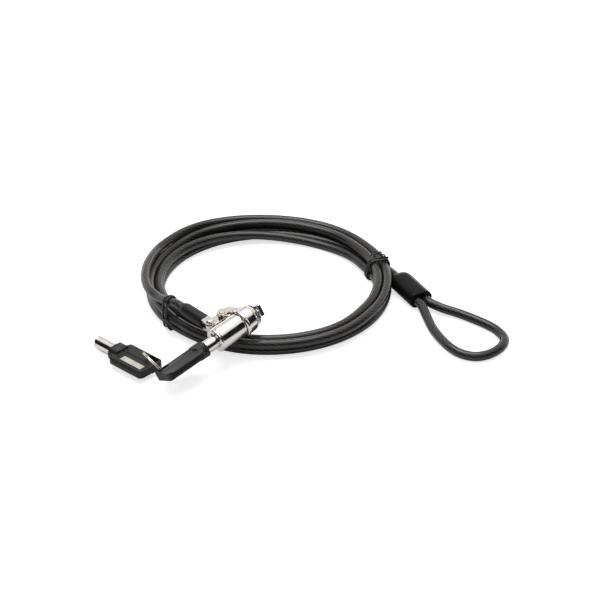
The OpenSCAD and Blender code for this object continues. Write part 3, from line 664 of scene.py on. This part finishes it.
# Polished metal that has been handled: the roughness wanders between Polished and Worn, over
# fine scratches from use.
handled_metal, n, given = node_group(
    "handled_metal",
    {"Place": "Vector", "Polished": "Float", "Worn": "Float"},
    {"Roughness": "Float", "Normal": "Vector"},
)
touch = n.add("ShaderNodeTexNoise", {
    "Vector": given["Place"], "Scale": 260.0, "Detail": 4.0, "Roughness": 0.6,
})
drawn_out = n.add("ShaderNodeMapping", {0: given["Place"], "Scale": (900.0, 900.0, 9000.0)})
scratch = n.add("ShaderNodeTexNoise", {"Vector": drawn_out.outputs[0], "Scale": 1.0, "Detail": 3.0})
relief = n.add("ShaderNodeBump", {
    "Height": scratch.outputs["Fac"], "Strength": 0.08, "Distance": 0.00002,
})
n.add("NodeGroupOutput", {
    "Roughness": n.between(touch.outputs["Fac"], 0.3, 0.7, given["Polished"], given["Worn"]),
    "Normal": relief.outputs[0],
})


def plated(name, colour, polished, worn):
    """A metal of one colour, with the wear of handled metal on it."""
    material, nodes, shader = finish_of(name, {"Metallic": 1.0, "Base Color": colour})
    surfaced(nodes, shader, handled_metal, {"Polished": polished, "Worn": worn})
    return material


nickel = plated("polished_nickel", (0.83, 0.79, 0.75, 1), 0.07, 0.2)


def in_ferrule(points):
    """A place on the crimp sleeve: X along it from the rivet's line, through the stud."""
    p = np.asarray(points, float)
    return in_lock(np.stack([STUD_PIN[0] + p[..., 1], p[..., 0], LINK_Z - p[..., 2]], -1))


shrink_tube, n, shader = finish_of("black_shrink_tube", {
    "Specular IOR Level": 0.2, "Coat Weight": 0.15, "Coat Roughness": 0.3,
})
surfaced(n, shader, moulded_skin, {
    "Grain Scale": 1500, "Grain Detail": 3, "Grain Strength": 0.25, "Grain Depth": 0.0001,
    "Cloud Scale": 160, "Cloud Detail": 3, "Cloud Roughness": 0.5,
    "Dark": (0.007, 0.007, 0.007, 1), "Light": (0.02, 0.02, 0.02, 1),
    "Smooth": 0.34, "Rough": 0.5,
})

FERRULE_R = 3.35
tube_end = MOUTH_Y + LOCK_FERRULE_LEN - 0.05
crimp = rounded_off(
    [(MOUTH_Y + 2.4, 2.25), (MOUTH_Y, 2.25), (MOUTH_Y, FERRULE_R),
     (tube_end - 2.2, FERRULE_R), (tube_end, 2.5), (tube_end, 2.1)],
    np.array([0.1, 0.2, 0.6, 1.4, 0.3, 0.1]),
)
crimp_sleeve = lathe("lock_crimp_sleeve", crimp, in_ferrule, 64)
dressed(crimp_sleeve, shrink_tube, "cable")
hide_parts("lock_ferrule")
dressed(softened("cable_end_stud", "cable_stud", 0.25), nickel, "cable")
dressed(softened("hinge_link", "link_arm", 0.4), nickel, "link")
dressed(softened("stud_pin", "stud_rivet", 0.12), nickel, "link")
dressed(softened("ear_hinge_pin", "ear_pin", 0.12), nickel, "collar")

# The lock head. A turned sleeve with a thinner neck, bored right through for the pin tumbler
# core; a key guide pressed into its rear end; a cast collar that turns on the neck and carries
# the ear; and a flange, a rubber washer and the T-bar at the nose. Plated and polished.
EDGE_X, STEP_X, NOSE_X = 1.2, 15.1, 22.5  # the rear edge, the step to the neck and the flange
HOUSING_R, NECK_R, BORE_R = 5.85, 5.0, 4.3
shell = rounded_off(
    [(EDGE_X, BORE_R), (EDGE_X, HOUSING_R), (STEP_X, HOUSING_R),
     (STEP_X, NECK_R), (NOSE_X - 0.05, NECK_R), (NOSE_X - 0.05, BORE_R)],
    np.array([0.15, 0.75, 0.35, 0.1, 0.1, 0.1]),
)
housing = lathe("lock_housing", shell, count=160)
dressed(housing, nickel, "lock_body")
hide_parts("lock_sleeve")
dressed(softened("key_guide", "rear_bezel", 0.22), nickel, "lock_body")
dressed(softened("nose_collar", "swivel_collar", 0.3), nickel, "collar")
FLANGE_END, NOSE_R = 23.7, 3.9
flange = lathe("nose_flange", rounded_off(
    [(NOSE_X, NOSE_R), (NOSE_X, 5.9), (FLANGE_END, 5.6), (FLANGE_END, NOSE_R)],
    np.array([0.1, 0.15, 0.3, 0.1]),
))
dressed(flange, nickel, "lock_body")
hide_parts("front_plate")

rubber, n, shader = finish_of("black_rubber", {"Specular IOR Level": 0.3})
surfaced(n, shader, moulded_skin, {
    "Grain Scale": 1400, "Grain Detail": 4, "Grain Strength": 0.4, "Grain Depth": 0.0001,
    "Cloud Scale": 1400, "Cloud Detail": 4, "Cloud Roughness": 0.5,
    "Dark": (0.006, 0.006, 0.006, 1), "Light": (0.02, 0.02, 0.02, 1),
    "Smooth": 0.5, "Rough": 0.7,
})
WASHER_START, WASHER_END, WASHER_R = 23.75, 24.5, 5.3
washer = lathe("nose_washer", rounded_off(
    [(WASHER_START, NOSE_R), (WASHER_START, WASHER_R), (WASHER_END, WASHER_R), (WASHER_END, NOSE_R)],
    np.array([0.1, 0.25, 0.25, 0.1]),
))
dressed(washer, rubber, "lock_body")
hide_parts("rubber_washer")

bright_steel = plated("bright_steel", (0.62, 0.61, 0.6, 1), 0.18, 0.34)
dark_steel = plated("blackened_steel", (0.2, 0.195, 0.19, 1), 0.2, 0.36)
dressed(softened("locking_tbar", "tbar_spindle", 0.25), bright_steel, "plug")
dressed(softened("anti_turn_pins", "slot_guide_pins", 0.15), dark_steel, "lock_body")

# The core, which shows only through the keyway and when the key is out: a brass plug and pin
# chamber, brass-coloured key pins, steel driver pins and fine steel springs.
brass = plated("turned_brass", (0.72, 0.52, 0.24, 1), 0.18, 0.34)
spring_wire = plated("spring_wire", (0.7, 0.7, 0.71, 1), 0.2, 0.35)
for node, material in {
    "key_plug": brass, "pin_stator": brass, "key_pins": brass,
    "driver_pins": bright_steel, "pin_springs": spring_wire,
}.items():
    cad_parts[node].data.materials.clear()
    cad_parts[node].data.materials.append(material)

# The keys. Each has a tubular steel barrel, cut at its end and plated, moulded into a grip of
# black nylon: a round boss round the barrel, a flat plate with a raised frame on one face, and
# a bright metal inlay let into the recess. One key is in the lock and the other on the ring.
KEY_AT = in_lock([4.6, 0, 0])
KEY_AXES = LOCK_AXES @ turned(radians(-28), 0, 0)
KEY_LEN = 36.8
# The spare key lies on the table with its inlay up, its tip a little lower than its grip's end.
SPARE_END = np.array([-53.49, -77.6, 4.3])
TIP_Z = 4.01
spare_pitch = np.arcsin((TIP_Z - SPARE_END[2]) / KEY_LEN)
SPARE_AXES = turned(pi, -spare_pitch, radians(138))
SPARE_AT = SPARE_END + SPARE_AXES @ [KEY_LEN, 0, 0]

nylon, n, shader = finish_of("black_nylon", {"IOR": 1.5, "Specular IOR Level": 0.35})
surfaced(n, shader, moulded_skin, {
    "Grain Scale": 2600, "Grain Detail": 3, "Grain Strength": 0.2, "Grain Depth": 0.00008,
    "Cloud Scale": 210, "Cloud Detail": 4, "Cloud Roughness": 0.65,
    "Dark": (0.009, 0.009, 0.009, 1), "Light": (0.022, 0.022, 0.022, 1),
    "Smooth": 0.4, "Rough": 0.55,
})
inlay_metal = plated("brushed_inlay", (0.62, 0.59, 0.56, 1), 0.3, 0.45)


def moulded_head(name, node, at, axes):
    """A key's grip as moulded: the CAD shape with an oval boss over the barrel's end, whose half
    width and half height are 4.8 and 4 mm times a profile that falls to nought at both ends.
    The two are remeshed into one skin at 0.17 mm and smoothed, which rounds the edges."""
    piece = softened(name, node, 0.01)
    piece.modifiers.clear()
    along = np.array([-11.45, -11.5, -11.8, -12.4, -14.6, -15.8, -16.8, -17.6, -18.1, -18.3])
    full = np.array([0.0, 0.86, 0.96, 1.0, 1.0, 0.95, 0.83, 0.62, 0.35, 0.0])
    oval = full[:, None, None] * (circle(1.0, 48) * [4.8, 4.0])
    rings = np.concatenate([np.broadcast_to(along[:, None, None], (*oval.shape[:2], 1)), oval], -1)
    boss = skin(name + "_boss", on_table(rings @ axes.T + at))
    piece = joined(name, [piece, boss])
    remesh = piece.modifiers.new("skin", "REMESH")
    remesh.mode = "VOXEL"
    remesh.voxel_size = 0.00017
    smooth = piece.modifiers.new("soft_edges", "SMOOTH")
    smooth.factor = 0.5
    smooth.iterations = 5
    graph = bpy.context.evaluated_depsgraph_get()
    solid = bpy.data.meshes.new_from_object(piece.evaluated_get(graph))
    piece.modifiers.clear()
    piece.data = solid
    solid.name = name
    solid.shade_smooth()
    return piece


dressed(moulded_head("key_grip", "key_head", KEY_AT, KEY_AXES), nylon, "key")
dressed(softened("key_tube", "key_barrel", 0.1), nickel, "key")
dressed(softened("key_inlay_plate", "key_inlay", 0.12), inlay_metal, "key")
spare_grip = moulded_head("spare_key_grip", "spare_key_head", SPARE_AT, SPARE_AXES)
dressed(spare_grip, nylon, "spare_key")
dressed(softened("spare_key_tube", "spare_key_barrel", 0.1), nickel, "spare_key")
spare_inlay = softened("spare_inlay_plate", "spare_key_inlay", 0.12)
dressed(spare_inlay, inlay_metal, "spare_key")

# The key ring. Flat spring-steel wire, wound nearly twice round beside itself and
# nickel-plated. It goes through the slots of both key grips.
RING_AT = np.array([-51.64, -77.4, 7.15])
RING_AXES = turned(0, radians(55), radians(33))
RING_R = 7.95
RING_TURNS = 1.97
HALF_WIDE, HALF_HIGH = 0.5, 0.3
a = 2 * pi * np.linspace(0, RING_TURNS, 360)
side = HALF_HIGH * np.clip((a / (2 * pi) - 1) / 0.06, -1, 1)
wire_path = np.stack([RING_R * np.cos(a), RING_R * np.sin(a), side], -1) @ RING_AXES.T + RING_AT
section = circle(1.0, 12) * [HALF_WIDE, HALF_HIGH]
split_ring = skin("split_ring", on_table(carry(wire_path, section, level=RING_AXES[:, 2])))
dressed(split_ring, nickel, "ring")
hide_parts("key_ring")
